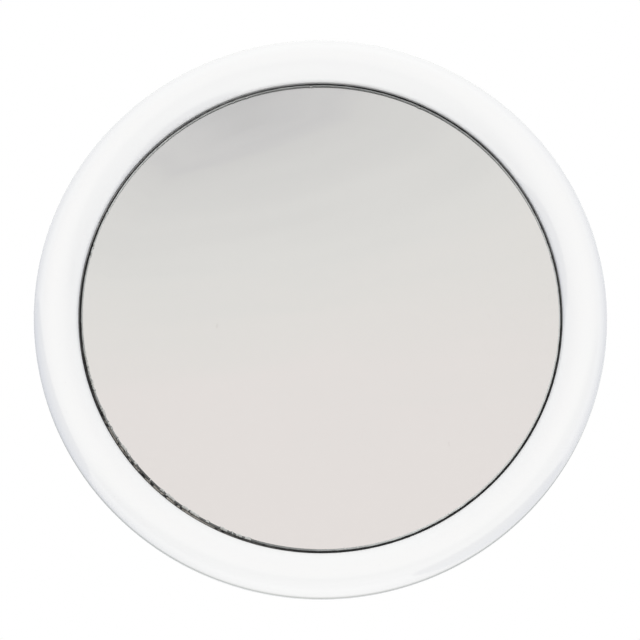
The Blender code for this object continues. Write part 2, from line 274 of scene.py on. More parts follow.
# What glosses show at the sides and behind the mirror, and the spans of y where it fades in
AHEAD_SPAN = (-0.45, -0.75)
AROUND_ROOM = (1.10, 1.10, 1.09)
BEHIND_SPAN = (0.5, 0.9)
BEHIND_ROOM = (1.0, 1.01, 1.0)

# Dark parts of the room that the rim's gloss shows: the direction and the half spans
DARK_WINDOWS = (
    ((-1.0, 0.0, -0.08), 0.75, 0.36),
    ((0.70, -0.20, -0.62), 0.62, 0.36),
)
DARK_SPAN = (-0.65, 0.30)
DARK_TONES = ((0.0, 0.01, 0.10), (0.78, 0.84, 0.94))
WINDOW_EDGE = (1.02, 0.98)
WINDOW_FACING = (-0.05, 0.05)

# Shaded parts behind the mirror: the direction, the cosine of the reach, its blur, the colour
SHADED_PATCHES = (
    ((-0.7, 0.7, -0.1), 0.90, 0.06, (0.76, 0.78, 0.82)),
    ((0.0, 0.94, -0.30), 0.86, 0.02, (0.56, 0.58, 0.56)),
)

# The light that the sky gives: from below and above in front, and by height behind
FRONT_LEVELS = (1.475, 1.355)
REAR_SPAN = (-0.1, 0.6)
REAR_LEVELS = ((0.0, 0.90), (0.3, 0.70), (0.5, 0.05), (0.7, 0.10), (1.0, 0.30))
LIGHT_COLOURS = ((1.0, 0.988, 0.948), (0.10, 0.14, 0.27))

# Lamps: the name, place, width and power
LAMPS = (
    ("key", (-0.9, -1.4, 1.5), 1.2, 0.5),
    ("fill", (1.3, -1.2, 0.6), 1.4, 0.25),
    ("rear", (0.02, 1.75, 0.42), 0.5, 8.0),
)
FLOOR_HALF = 15.0
FLOOR_HEIGHT = -0.6

# Each cup's body and its angle round the mirror, and the screws' nodes
CUP_PLACES = {
    "suction_cup_right": ("cup_right", math.radians(30)),
    "suction_cup_left": ("cup_left", math.radians(150)),
    "suction_cup_lower": ("cup_lower", math.radians(270)),
}
SCREW_NODES = ("screw_top", "screw_lower_left", "screw_lower_right")

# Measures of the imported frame, and those that follow from them
frame_low, frame_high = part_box("front_frame")
glass_low, glass_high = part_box("mirror_glass")
cover_low, cover_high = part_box("rear_cover")
tape_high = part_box("mirror_tape")[1]
pad_low, pad_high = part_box("centre_pad")
screw_low, screw_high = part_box("screw_top")
lower_low, lower_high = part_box("suction_cup_lower")

frame_radius = frame_high.x
crest_front = -frame_low.y
ledge_back = -frame_high.y
rim_base = crest_front - CREST_HEIGHT
lip_front = rim_base + LIP_HEIGHT
parting = rim_base - RIM_BAND_HEIGHT
recess_radius = frame_radius - RIM_WIDTH
crest_radius = recess_radius + RIM_WIDTH * CREST_WIDTH_SHARE
rim_middle = recess_radius + RIM_WIDTH / 2
leg_radius = recess_radius + FRAME_WALL
outer_leg_radius = frame_radius - FRAME_WALL

glass_centre = ((glass_low.x + glass_high.x) / 2, (glass_low.z + glass_high.z) / 2)
glass_radius = (glass_high.x - glass_low.x) / 2
glass_front_edge = -glass_low.y
glass_rear_pole = -glass_high.y
glass_front_pole = glass_rear_pole + GLASS_THICKNESS
rear_curve_radius = GLASS_CURVE_RADIUS + GLASS_THICKNESS

tape_radius = tape_high.x
tape_back = -tape_high.y
pad_radius = pad_high.x
pad_front = -pad_low.y
pad_back = -pad_high.y

cover_back = -cover_high.y
cover_inside = cover_back + COVER_WALL
lap_top = -cover_low.y
screw_seat = cover_back + WELL_DEPTH
seat_front = screw_seat + SCREW_SEAT_THICKNESS
post_circle = (screw_low.z + screw_high.z) / 2
screw_tip = -screw_low.y
screw_head_back = -screw_high.y
screw_base = screw_head_back + SCREW_HEAD_HEIGHT
well_radius = SCREW_HEAD_RADIUS + SCREW_CLEARANCE
pilot_radius = (screw_high.x - screw_low.x) / 2 - SCREW_HEAD_RADIUS + PILOT_RADIUS

cup_circle = CUP_RADIUS - lower_high.z
head_top = -lower_low.y
head_base = head_top - HEAD_THICKNESS
hollow_radius = CUP_RADIUS - CUP_LIP_WIDTH
slide = frame["joints"][0]["range_m"]
cup_travel = max(slide) - min(slide)


# Points, outlines and solids

def polar(radius, angle):
    return radius * math.cos(angle), radius * math.sin(angle)


def apart(one, two):
    """The smaller angle between two directions."""
    return abs((one - two + math.pi) % math.tau - math.pi)


def sag(radius, curve_radius):
    """How far a sphere has fallen back from its pole at this radius."""
    return curve_radius - math.sqrt(curve_radius**2 - radius**2)


def arc(centre, semi_axes, start, end, count):
    """Points on an ellipse, from the start angle to the end angle in degrees, both included."""
    angles = [math.radians(start + (end - start) * i / count) for i in range(count + 1)]
    return [
        (centre[0] + semi_axes[0] * math.cos(a), centre[1] + semi_axes[1] * math.sin(a))
        for a in angles
    ]


def bezier(start, middle, end, share):
    a, b, c = (1 - share) ** 2, 2 * share * (1 - share), share**2
    return tuple(a * p + b * q + c * r for p, q, r in zip(start, middle, end))


def spaced(outer, count):
    return [outer * i / count for i in range(count + 1)]


def new_object(name, data):
    made = bpy.data.objects.new(name, data)
    bpy.context.scene.collection.objects.link(made)
    return made


def new_mesh(name, points, faces):
    mesh = bpy.data.meshes.new(name)
    mesh.from_pydata(points, [], faces)
    form = bmesh.new()
    form.from_mesh(mesh)
    bmesh.ops.recalc_face_normals(form, faces=form.faces)
    form.to_mesh(mesh)
    form.free()
    return new_object(name, mesh)


def turned(name, profile, steps, centre=(0.0, 0.0), closed=False, shape=None):
    """A solid turned about the depth. The profile's points are (radius, depth)."""
    points = []
    rings = []
    for row, (radius, depth) in enumerate(profile):
        if radius == 0:
            rings.append([len(points)] * steps)
            points.append((centre[0], -depth, centre[1]))
            continue
        ring = []
        for i in range(steps):
            angle = math.tau * i / steps
            r, d = shape(row, angle, radius, depth) if shape else (radius, depth)
            ring.append(len(points))
            points.append((centre[0] + r * math.cos(angle), -d, centre[1] + r * math.sin(angle)))
        rings.append(ring)
    faces = []
    pairs = list(zip(rings, rings[1:]))
    if closed:
        pairs.append((rings[-1], rings[0]))
    for one, two in pairs:
        for i in range(steps):
            j = (i + 1) % steps
            corners = dict.fromkeys((one[i], one[j], two[j], two[i]))
            if len(corners) > 2:
                faces.append(tuple(corners))
    return new_mesh(name, points, faces)


def lofted(name, sections):
    """A closed solid through these sections, each an outline of (across, up) and its depth."""
    count = len(sections[0][0])
    points = [(x, -depth, z) for outline, depth in sections for x, z in outline]
    last = len(points) - count
    faces = [tuple(range(count)), tuple(range(last, last + count))]
    for start in range(0, last, count):
        for i in range(count):
            j = (i + 1) % count
            faces.append((start + i, start + j, start + count + j, start + count + i))
    return new_mesh(name, points, faces)


def moved(outline, centre, angle=0.0):
    """The outline turned by this angle and then set about this centre."""
    c, s = math.cos(angle), math.sin(angle)
    return [(centre[0] + x * c - z * s, centre[1] + x * s + z * c) for x, z in outline]


def scaled(outline, across, up):
    return [(x * across, z * up) for x, z in outline]


def rectangle(start, end, width):
    return [(start, -width / 2), (end, -width / 2), (end, width / 2), (start, width / 2)]


def applied(obj):
    """The object with its modifiers made part of its mesh."""
    bpy.context.view_layer.update()
    graph = bpy.context.evaluated_depsgraph_get()
    mesh = bpy.data.meshes.new_from_object(obj.evaluated_get(graph))
    obj.modifiers.clear()
    obj.data = mesh
    return obj


def combine(obj, others, operation):
    """The object joined with, or cut by, others, which are used up."""
    for other in others:
        boolean = obj.modifiers.new(operation, "BOOLEAN")
        boolean.operation = operation
        boolean.object = other
        boolean.solver = "EXACT"
    applied(obj)
    for other in others:
        bpy.data.objects.remove(other)
    return obj


def smooth(obj, angle=SHARP_ANGLE):
    """Smooth shading that keeps the sharp edges and the wide flat faces."""
    obj.data.shade_smooth()
    obj.data.set_sharp_from_angle(angle=angle)
    weighted = obj.modifiers.new("face weights", "WEIGHTED_NORMAL")
    weighted.keep_sharp = True
    return obj


def settle(obj, material, body, slot, *nodes):
    """Gives a finished piece its material and body, and hides the imported parts that it stands
    for.
    """
    if not obj.data.materials:
        obj.data.materials.append(material)
    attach(obj, body)
    if nodes:
        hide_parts(*nodes)
    return obj


# Shader nodes

def node(tree, kind, inputs=None, **settings):
    """A shader node. An input is set to a value, or joined to a socket."""
    made = tree.nodes.new("ShaderNode" + kind)
    for key, value in settings.items():
        setattr(made, key, value)
    for key, value in (inputs or {}).items():
        if isinstance(value, bpy.types.NodeSocket):
            tree.links.new(value, made.inputs[key])
        else:
            made.inputs[key].default_value = value
    return made


def ramp(tree, factor, stops):
    """Colours between these stops, each a place from 0 to 1 and a colour."""
    made = node(tree, "ValToRGB", {"Fac": factor})
    elements = made.color_ramp.elements
    while len(elements) < len(stops):
        elements.new(1.0)
    for element, (position, colour) in zip(elements, stops):
        element.position = position
        element.color = (*colour, 1.0)
    return made.outputs["Color"]


def grey_ramp(tree, factor, stops):
    return ramp(tree, factor, [(position, (grey, grey, grey)) for position, grey in stops])


def ranged(tree, value, span, to=(0.0, 1.0), smooth_steps=False):
    """The value's place in its span, carried over to another span and kept within that."""
    limits = {"From Min": span[0], "From Max": span[1], "To Min": to[0], "To Max": to[1]}
    kind = "SMOOTHSTEP" if smooth_steps else "LINEAR"
    made = node(tree, "MapRange", {"Value": value, **limits}, interpolation_type=kind)
    return made.outputs["Result"]


def calculated(tree, operation, one, two=0.0, clamp=False):
    made = node(tree, "Math", {0: one, 1: two}, operation=operation, use_clamp=clamp)
    return made.outputs["Value"]


def noisy(tree, where, scale, detail=2.0):
    made = node(tree, "TexNoise", {"Vector": where, "Scale": scale, "Detail": detail})
    return made.outputs["Fac"]


def mixed(tree, factor, one, two):
    """One colour where the factor is 0, and the other where it is 1."""
    one, two = [(*c, 1.0) if isinstance(c, tuple) else c for c in (one, two)]
    return node(tree, "Mix", {0: factor, 6: one, 7: two}, data_type="RGBA").outputs[2]


def split(tree, vector):
    return node(tree, "SeparateXYZ", {"Vector": vector}).outputs


def joined(tree, **axes):
    return node(tree, "CombineXYZ", axes).outputs["Vector"]


def length_of(tree, vector):
    return node(tree, "VectorMath", {0: vector}, operation="LENGTH").outputs["Value"]


def dotted(tree, vector, axis):
    made = node(tree, "VectorMath", {0: vector, 1: tuple(axis)}, operation="DOT_PRODUCT")
    return made.outputs["Value"]


def angle_round(tree, axes):
    """The angle about the mirror's middle, from 0 at -180 degrees to 1 at 180."""
    angle = calculated(tree, "ARCTAN2", axes["Z"], axes["X"])
    return ranged(tree, angle, (-math.pi, math.pi))


def by_angle(tree, around, table):
    """The share that a table of degrees and shares gives here."""
    return grey_ramp(tree, around, [(degrees / 360 + 0.5, share) for degrees, share in table])


# Materials

def new_material(name):
    made = bpy.data.materials.new(name)
    made.use_nodes = True
    tree = made.node_tree
    shader = tree.nodes["Principled BSDF"]
    where = node(tree, "TexCoord").outputs["Object"]
    return made, tree, shader, where


def dress(tree, shader, colour, grain, roughness, span=NOISE_SPAN, fixed=None, bump=None):
    """Gives the shader its colour, a roughness that follows the grain and its fixed values.

    A bump, given as its strength and distance, follows the grain too.
    """
    tree.links.new(colour, shader.inputs["Base Color"])
    tree.links.new(ranged(tree, grain, span, roughness), shader.inputs["Roughness"])
    for key, value in (fixed or {}).items():
        shader.inputs[key].default_value = value
    if bump:
        bumped(tree, shader, grain, *bump)


def bumped(tree, shader, height, strength, distance):
    bump = node(tree, "Bump", {"Height": height, "Strength": strength, "Distance": distance})
    tree.links.new(bump.outputs["Normal"], shader.inputs["Normal"])


def make_grained(name, scale, detail, tones, roughness, fixed=None, bump=None):
    """A material whose tone, roughness and bump follow one noise."""
    made, tree, shader, where = new_material(name)
    grain = noisy(tree, where, scale, detail)
    dress(tree, shader, mixed(tree, grain, *tones), grain, roughness, fixed=fixed, bump=bump)
    return made


def make_white_plastic(name, colour, roughness, texture, gloss=0.0):
    """Moulded plastic: a faint mottle, a slight orange peel and a few specks of dust."""
    made, tree, shader, where = new_material(name)
    mottle = noisy(tree, where, MOTTLE_SCALE, 3.0)
    peel = noisy(tree, where, PEEL_SCALE)
    specks = ranged(tree, noisy(tree, where, DUST_SCALE, 1.0), DUST_SPAN)
    darker = tuple(c * MOTTLE_SHARE for c in colour)
    base = mixed(tree, mottle, darker, colour)
    dusty = mixed(tree, calculated(tree, "MULTIPLY", specks, DUST_SHARE), base, PLASTIC_DUST)
    dress(
        tree, shader, dusty, mottle, tuple(roughness + step for step in ROUGHNESS_STEPS),
        fixed={"IOR": PLASTIC_IOR, "Coat Weight": gloss, "Coat Roughness": COAT_ROUGHNESS},
    )
    bumped(tree, shader, peel, texture, PEEL_DEPTH)
    return made


def make_clear_glass():
    made, tree, shader, where = new_material("clear_glass")
    specks = ranged(tree, noisy(tree, where, SPECK_SCALE, 1.0), SPECK_SPAN)
    haze = noisy(tree, where, HAZE_SCALE, 3.0)
    dress(
        tree, shader, mixed(tree, specks, CLEAR_TINT, CLEAR_SPECK), haze,
        roughness=(0.0, 0.03), span=HAZE_SPAN,
        fixed={"Transmission Weight": 1.0, "IOR": GLASS_IOR},
    )
    return made


def edge_wetness(tree, where):
    """How far black adhesive has wetted the glass's edge here, from 0 to 1."""
    wander = ranged(tree, noisy(tree, where, WETTING_SCALE, 3.0), NOISE_SPAN, WETTING_WANDER)
    around = calculated(tree, "ADD", angle_round(tree, split(tree, where)), wander)
    return by_angle(tree, around, EDGE_WETNESS)


def make_glass_side():
    """The side of the glass as its front shows it: bright where dry, and dark where wetted."""
    made, tree, shader, where = new_material("glass_side")
    streaky = noisy(tree, where, SIDE_STREAK_SCALE)
    dry = mixed(tree, streaky, *SIDE_DRY)
    colour = mixed(tree, edge_wetness(tree, where), dry, SIDE_WET)
    dress(tree, shader, colour, streaky, roughness=(0.08, 0.2), fixed={"Metallic": 1.0})
    return made


def make_ground_glass():
    """The ground edge: frosted, faintly green, and dark where black adhesive has wetted it."""
    made, tree, shader, where = new_material("ground_glass")
    grain = noisy(tree, where, GRINDING_SCALE, 3.0)
    dry, wet = mixed(tree, grain, *GROUND_DRY), mixed(tree, grain, *GROUND_WET)
    dress(
        tree, shader, mixed(tree, edge_wetness(tree, where), dry, wet), grain,
        roughness=(0.35, 0.6), fixed={"IOR": GLASS_IOR}, bump=(0.5, 0.00005),
    )
    return made


def make_black_foam():
    """Closed cells, with dust on the adhesive at the edge of the glass, and pale painted light
    where it meets the recess wall.
    """
    made, tree, shader, where = new_material("black_foam")
    cells = node(tree, "TexVoronoi", {"Vector": where, "Scale": CELL_SCALE}).outputs["Distance"]
    axes = split(tree, where)
    around = angle_round(tree, axes)
    radius = length_of(tree, joined(tree, X=axes["X"], Z=axes["Z"]))
    past_inner, past_outer, by_wall = [
        ranged(tree, radius, (limit, limit + SOFT_EDGE)) for limit in (*DUSTY_BAND, PAINTED_LIGHT_RADIUS)
    ]
    band = calculated(tree, "SUBTRACT", past_inner, past_outer)
    held = calculated(tree, "MULTIPLY", band, by_angle(tree, around, EDGE_DUST))
    caught = ranged(tree, noisy(tree, where, CAUGHT_SCALE), CAUGHT_SPAN)
    dust = calculated(tree, "MULTIPLY", held, caught)
    dusty = mixed(tree, dust, mixed(tree, cells, *FOAM_TONES), FOAM_DUST)
    # Painted light: the adhesive's outer edge is painted pale by the wall, standing in for light
    # on the recess wall
    painted_light = calculated(tree, "MULTIPLY", by_angle(tree, around, EDGE_PAINTED_LIGHT), by_wall)
    dress(
        tree, shader, mixed(tree, painted_light, dusty, FOAM_PAINTED_LIGHT), cells,
        roughness=(0.95, 0.75), span=CELL_SPAN, bump=(0.6, 0.0002),
    )
    return made


# Pieces

def rim_front():
    """The front of the rim, from the recess over the crest to the widest line."""
    lip_radius = recess_radius + LIP_ROUND
    width = crest_radius - lip_radius
    drop = crest_front - lip_front
    curve_radius = (width**2 + drop**2) / (2 * drop)
    tilt = width / math.sqrt(curve_radius**2 - width**2)
    corner = (recess_radius, lip_front - LIP_ROUND * tilt)
    start = (recess_radius, lip_front - LIP_ROUND_DEPTH)
    lip = [bezier(start, corner, (lip_radius, lip_front), i / 8) for i in range(8)]
    slope = [
        (crest_radius - offset, crest_front - sag(offset, curve_radius))
        for offset in spaced(width, 24)[::-1]
    ]
    outside = arc((crest_radius, rim_base), (frame_radius - crest_radius, CREST_HEIGHT), 90, 0, 24)
    return lip + slope + outside[1:]


def ledge_inner_radius():
    """The ledge's free edge, from the frame's own mesh: its smallest distance from the axis."""
    return min(math.hypot(v.co.x, v.co.z) for v in frame["nodes"]["front_frame"].data.vertices)


def screw_angles():
    """Each screw's name and its angle round the mirror, from its box."""
    found = []
    for name in SCREW_NODES:
        low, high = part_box(name)
        found.append((name, math.atan2(low.z + high.z, low.x + high.x)))
    return found


def rod(name, radius, low, high, centre):
    """A plain round bar along the depth."""
    profile = [(0, low), (radius, low), (radius, high), (0, high)]
    return turned(name, profile, SMALL_STEPS, centre)


def make_front_frame():
    leg_base = parting + PARTING_GAP
    lap_middle = frame_radius - FRAME_WALL / 2 + PARTING_GAP / 2
    inside = arc(
        (rim_middle, rim_base),
        (RIM_WIDTH / 2 - FRAME_WALL, CREST_HEIGHT - FRAME_WALL), 0, 180, 20,
    )
    ledge_front = ledge_back + LEDGE_THICKNESS
    ledge_radius = ledge_inner_radius()
    profile = rim_front() + arc(
        (frame_radius - EDGE_ROUND, leg_base + EDGE_ROUND), (EDGE_ROUND, EDGE_ROUND), 0, -90, 4
    ) + [
        (lap_middle, leg_base),
        (lap_middle, leg_base + LAP_HEIGHT),
        (outer_leg_radius, leg_base + LAP_HEIGHT),
    ] + inside + [
        (leg_radius, ledge_back),
        (ledge_radius, ledge_back),
        (ledge_radius, ledge_front),
        (recess_radius, ledge_front),
    ]
    ring = turned("front_frame_moulding", profile, RING_STEPS, closed=True)
    post_base = seat_front + PARTING_GAP
    post_top = rim_base + CREST_HEIGHT - FRAME_WALL * POST_WALL_SHARE
    rib_start = leg_radius - FRAME_WALL / 2
    added, drilled = [], []
    for name, angle in screw_angles():
        centre = polar(post_circle, angle)
        added.append(rod(name + "_post", POST_RADIUS, post_base, post_top, centre))
        rib = moved(rectangle(rib_start, post_circle, RIB_THICKNESS), (0, 0), angle)
        added.append(lofted(name + "_rib", [(rib, post_base), (rib, rim_base)]))
        low, high = post_base - OVERRUN, screw_tip + PARTING_GAP
        drilled.append(rod(name + "_pilot", pilot_radius, low, high, centre))
    combine(ring, added, "UNION")
    combine(ring, drilled, "DIFFERENCE")
    smooth(ring)
    settle(ring, white_front, "mirror", "white_plastic", "front_frame")


def chip_table():
    """Nicks along the glass's ground edge: the angle, half width and depth of each."""
    rng = random.Random(CHIP_SEED)
    chips = []
    for count, angles, half_widths, depths in CHIP_GROUPS:
        for _ in range(count):
            where = math.radians(rng.uniform(*angles))
            chips.append((where, rng.uniform(*half_widths), rng.uniform(*depths)))
    return chips


def make_glass():
    """Clear glass, silvered behind, with a ground edge that has small nicks."""
    chips = chip_table()

    def nick(angle):
        depth = 0.0
        for where, half, share in chips:
            off = apart(angle, where)
            if off < half:
                depth = max(depth, share * (1 - (off / half) ** 2))
        return depth * CHIP_DEPTH

    front = [
        (radius, glass_front_pole + sag(radius, GLASS_CURVE_RADIUS))
        for radius in spaced(glass_radius - GLASS_ARRIS, 20)
    ]
    rear = [
        (radius, glass_rear_pole + sag(radius, rear_curve_radius))
        for radius in spaced(glass_radius - REAR_ARRIS, 8)
    ]
    side = [
        (glass_radius, front[-1][1] - GLASS_ARRIS),
        (glass_radius, rear[-1][1] + REAR_ARRIS),
    ]
    profile = front + side + rear[::-1]
    last_front = len(front) - 1
    first_side, last_side = last_front + 1, last_front + 2

    def shape(row, angle, radius, depth):
        if row == last_front:
            cut = radius - nick(angle)
            return cut, glass_front_pole + sag(cut, GLASS_CURVE_RADIUS)
        if row == first_side:
            return radius - nick(angle) * CHIP_SIDE_SHARE, depth - nick(angle)
        return radius, depth

    plate = turned("mirror_plate", profile, GLASS_STEPS, glass_centre, shape=shape)
    looks = (clear_glass, ground_glass, mirror_silver, chipped_glass, glass_side)
    for material in looks:
        plate.data.materials.append(material)
    clear, ground, silvered, chipped, sided = range(len(looks))

    def row_of(vertex):
        """The profile's point that a vertex comes from. The first and last stand alone."""
        return 0 if vertex == 0 else min((vertex - 1) // GLASS_STEPS + 1, len(profile) - 1)

    for face in plate.data.polygons:
        rows = [row_of(v) for v in face.vertices]
        if max(rows) <= last_front:
            face.material_index = clear
        elif min(rows) >= last_side:
            face.material_index = silvered
        elif min(rows) == first_side:
            face.material_index = sided
        else:
            middle = face.center - Vector((glass_centre[0], 0, glass_centre[1]))
            deep = nick(math.atan2(middle.z, middle.x)) / CHIP_DEPTH
            face.material_index = chipped if deep > CHIP_SHOWS_SHARE else ground
    smooth(plate, GLASS_SHARP_ANGLE)
    settle(plate, clear_glass, "mirror", "mirror_silver", "mirror_glass")


def make_backing():
    """The paint on the back of the silver."""
    reach = glass_radius - GLASS_ARRIS
    back = glass_rear_pole - TOUCH
    near = [(r, back + sag(r, rear_curve_radius)) for r in spaced(reach, 16)]
    far = [(r, d - BACKING_THICKNESS) for r, d in near[::-1]]
    backing = smooth(turned("mirror_backing", near + far, RING_STEPS, glass_centre))
    settle(backing, backing_paint, "mirror", "mirror_silver")


def make_tape():
    """Foam tape under the edge of the glass, with black adhesive pressed up round it."""
    off_centre = math.hypot(*glass_centre)
    off_angle = math.atan2(*glass_centre[::-1])
    ring_inner = tape_radius - TAPE_WIDTH
    pole = glass_rear_pole - PARTING_GAP
    bead_top = glass_front_edge - BEAD_BELOW_GLASS
    reach = recess_radius - TOUCH
    inner = glass_radius + off_centre + TOUCH
    bead = [
        (
            inner + (reach - inner) * i / BEAD_POINTS,
            bead_top + BEAD_SWELL * abs(1 - 2 * i / BEAD_POINTS) ** 2,
        )
        for i in range(BEAD_POINTS + 1)
    ]
    under_glass = [
        (ring_inner, tape_back),
        (ring_inner, pole + sag(ring_inner, rear_curve_radius)),
        (inner, pole + sag(inner, rear_curve_radius)),
    ]
    profile = under_glass + bead + [(reach, tape_back)]
    first_bead = len(under_glass)

    def shape(row, angle, radius, depth):
        if not first_bead - 1 <= row < len(profile) - 1:
            return radius, depth
        edge = glass_radius + off_centre * math.cos(angle - off_angle) + TOUCH
        share = (radius - inner) / (reach - inner)
        lift = 0.0
        if row >= first_bead:
            around = (BEAD_WAVES_AROUND * math.cos(angle), BEAD_WAVES_AROUND * math.sin(angle))
            lift = BEAD_WAVE * noise.noise(Vector((*around, BEAD_WAVES_ACROSS * share)))
            off = apart(angle, BEAD_DROP_ANGLE)
            if off < BEAD_DROP_SPAN:
                lift -= BEAD_DROP * share * math.cos(off / BEAD_DROP_SPAN * math.pi / 2)
        return edge + (reach - edge) * share, depth + lift

    tape = turned("tape_and_bead", profile, GLASS_STEPS, closed=True, shape=shape)
    smooth(tape)
    settle(tape, black_foam, "mirror", "black_foam", "mirror_tape")


def make_pad():
    """A foam disc whose cut side bulges a little where it is pressed."""
    middle = (pad_front + pad_back) / 2
    half = (pad_front - pad_back) / 2
    flat = pad_radius * PAD_FLAT_SHARE
    side = [
        (pad_radius - PAD_BULGE + PAD_BULGE * math.cos(t), middle - half * math.sin(t))
        for t in map(math.radians, range(-90, 91, 15))
    ]
    profile = [(0, pad_front), (flat, pad_front)] + side + [(flat, pad_back), (0, pad_back)]
    pad = smooth(turned("centre_pad_foam", profile, CUP_STEPS))
    settle(pad, black_foam, "mirror", "black_foam", "centre_pad")


def keyhole_outline(grown):
    """The keyhole of one cup about its upper seat, grown by this much all round."""
    hole, slot = KEYHOLE_RADIUS + grown, SLOT_RADIUS + grown
    meet = math.degrees(math.asin(slot / hole))
    return arc((0, 0), (slot, slot), 0, 180, 24) + arc(
        (0, -cup_travel), (hole, hole), 90 + meet, 450 - meet, 48
    )


def keyhole_sections(centre, low, high):
    """Sections of a cutter that opens out at the cover's outer face."""
    wide = moved(keyhole_outline(COVER_CHAMFER), centre)
    true = moved(keyhole_outline(0.0), centre)
    return [
        (wide, low), (wide, cover_back), (true, cover_back + COVER_CHAMFER), (true, high)
    ]


def make_rear_cover():
    """A dished shell with keyholes, screw wells and the mark of its mould's gate."""
    lap_middle = frame_radius - FRAME_WALL / 2 - PARTING_GAP / 2
    shoulder_middle = frame_radius - COVER_SHOULDER_WIDTH
    shoulder = arc(
        (shoulder_middle, parting), (COVER_SHOULDER_WIDTH, parting - cover_back), 0, -90, 32
    )
    outside = [(0, lap_top), (lap_middle, lap_top), (lap_middle, parting)]
    outside += [(frame_radius - EDGE_ROUND, parting)] + shoulder[1:] + [(0, cover_back)]
    cover = turned("rear_cover_moulding", outside, RING_STEPS)

    inner_shoulder = arc(
        (shoulder_middle, parting),
        (COVER_SHOULDER_WIDTH - FRAME_WALL, parting - cover_inside), 0, -90, 24,
    )
    open_top = lap_top + OVERRUN
    hollow = [(0, open_top), (outer_leg_radius, open_top)] + inner_shoulder + [(0, cover_inside)]
    cavity = turned("cover_cavity", hollow, RING_STEPS)
    below = cover_back - OVERRUN
    wide = well_radius + COVER_CHAMFER
    well = [
        (0, below), (wide, below), (wide, cover_back),
        (well_radius, cover_back + COVER_CHAMFER), (well_radius, screw_seat), (0, screw_seat),
    ]
    tubes, cutters = [], [cavity]
    for name, angle in screw_angles():
        centre = polar(post_circle, angle)
        tubes.append(rod(name + "_tube", POST_RADIUS, below, seat_front, centre))
        cutters.append(turned(name + "_well", well, SMALL_STEPS, centre))
        top = seat_front + OVERRUN
        cutters.append(rod(name + "_through", pilot_radius, below, top, centre))
    combine(cavity, tubes, "DIFFERENCE")
    for name, (_, angle) in CUP_PLACES.items():
        sections = keyhole_sections(polar(cup_circle, angle), below, cover_inside + OVERRUN)
        cutters.append(lofted(name + "_keyhole", sections))
    gate_floor, pip_top = cover_back + GATE_DEPTH, cover_back + GATE_DEPTH / 2
    gate = [
        (0, pip_top), (GATE_PIP_RADIUS, pip_top), (GATE_PIP_RADIUS, gate_floor),
        (GATE_RADIUS - GATE_DEPTH, gate_floor), (GATE_RADIUS, cover_back),
        (GATE_RADIUS, below), (0, below),
    ]
    cutters.append(turned("gate_mark", gate, SMALL_STEPS))
    combine(cover, cutters, "DIFFERENCE")
    smooth(cover)
    settle(cover, white_rear, "mirror", "white_plastic", "rear_cover")


def cup_profile():
    """Head, neck, root, flared skirt, flat lip and hollow, from the top of the axis down."""
    hollow_curve = (hollow_radius**2 + CUP_HOLLOW_DEPTH**2) / (2 * CUP_HOLLOW_DEPTH)

    def hollow(radius):
        return CUP_HOLLOW_DEPTH - sag(min(radius, hollow_radius), hollow_curve)

    edge_radius = CUP_RADIUS - CUP_EDGE_ROUND
    root_thickness = CUP_HEIGHT - CUP_ROOT_DROP - hollow(CUP_ROOT_RADIUS)
    skirt = []
    for i in range(SKIRT_POINTS):
        share = i / SKIRT_POINTS
        radius = CUP_ROOT_RADIUS + (edge_radius - CUP_ROOT_RADIUS) * share
        thickness = CUP_LIP_THICKNESS + (root_thickness - CUP_LIP_THICKNESS) * (1 - share) ** 2
        skirt.append((radius, hollow(radius) + thickness))
    edge_round = (CUP_EDGE_ROUND, CUP_EDGE_ROUND)
    edge = arc((edge_radius, CUP_LIP_THICKNESS - CUP_EDGE_ROUND), edge_round, 80, 0, 4)
    edge += arc((edge_radius, CUP_EDGE_ROUND), edge_round, 0, -90, 4)
    head = arc(
        (HEAD_RADIUS - HEAD_ROUND, head_top - HEAD_ROUND), (HEAD_ROUND, HEAD_ROUND), 90, 0, 8
    ) + arc(
        (HEAD_RADIUS - EDGE_ROUND, head_base + EDGE_ROUND), (EDGE_ROUND, EDGE_ROUND), 0, -90, 3
    )
    root = arc(
        (CUP_ROOT_RADIUS - CUP_ROOT_ROUND, CUP_HEIGHT - CUP_ROOT_ROUND),
        (CUP_ROOT_ROUND, CUP_ROOT_ROUND), 90, 0, 8,
    )
    inside = [(radius, hollow(radius)) for radius in spaced(hollow_radius, 20)[-2::-1]]
    neck = [(NECK_RADIUS, head_base), (NECK_RADIUS, CUP_HEIGHT)]
    return [(0, head_top)] + head + neck + root + skirt + edge + [(hollow_radius, 0)] + inside


def tab_outline():
    start = CUP_RADIUS - CUP_LIP_WIDTH / 2
    end = CUP_RADIUS + TAB_LENGTH - TAB_WIDTH / 2
    tip = arc((end, 0), (TAB_WIDTH / 2, TAB_WIDTH / 2), -90, 90, 24)
    return [(start, -TAB_WIDTH / 2)] + tip + [(start, TAB_WIDTH / 2)]


def place_copy(pattern, name, centre, angle):
    """A copy of the pattern, turned by this angle about the depth and moved to this centre."""
    mesh = pattern.data.copy()
    place = Matrix.Translation((centre[0], 0, centre[1]))
    mesh.transform(place @ Matrix.Rotation(-angle, 4, "Y"))
    return smooth(new_object(name, mesh))


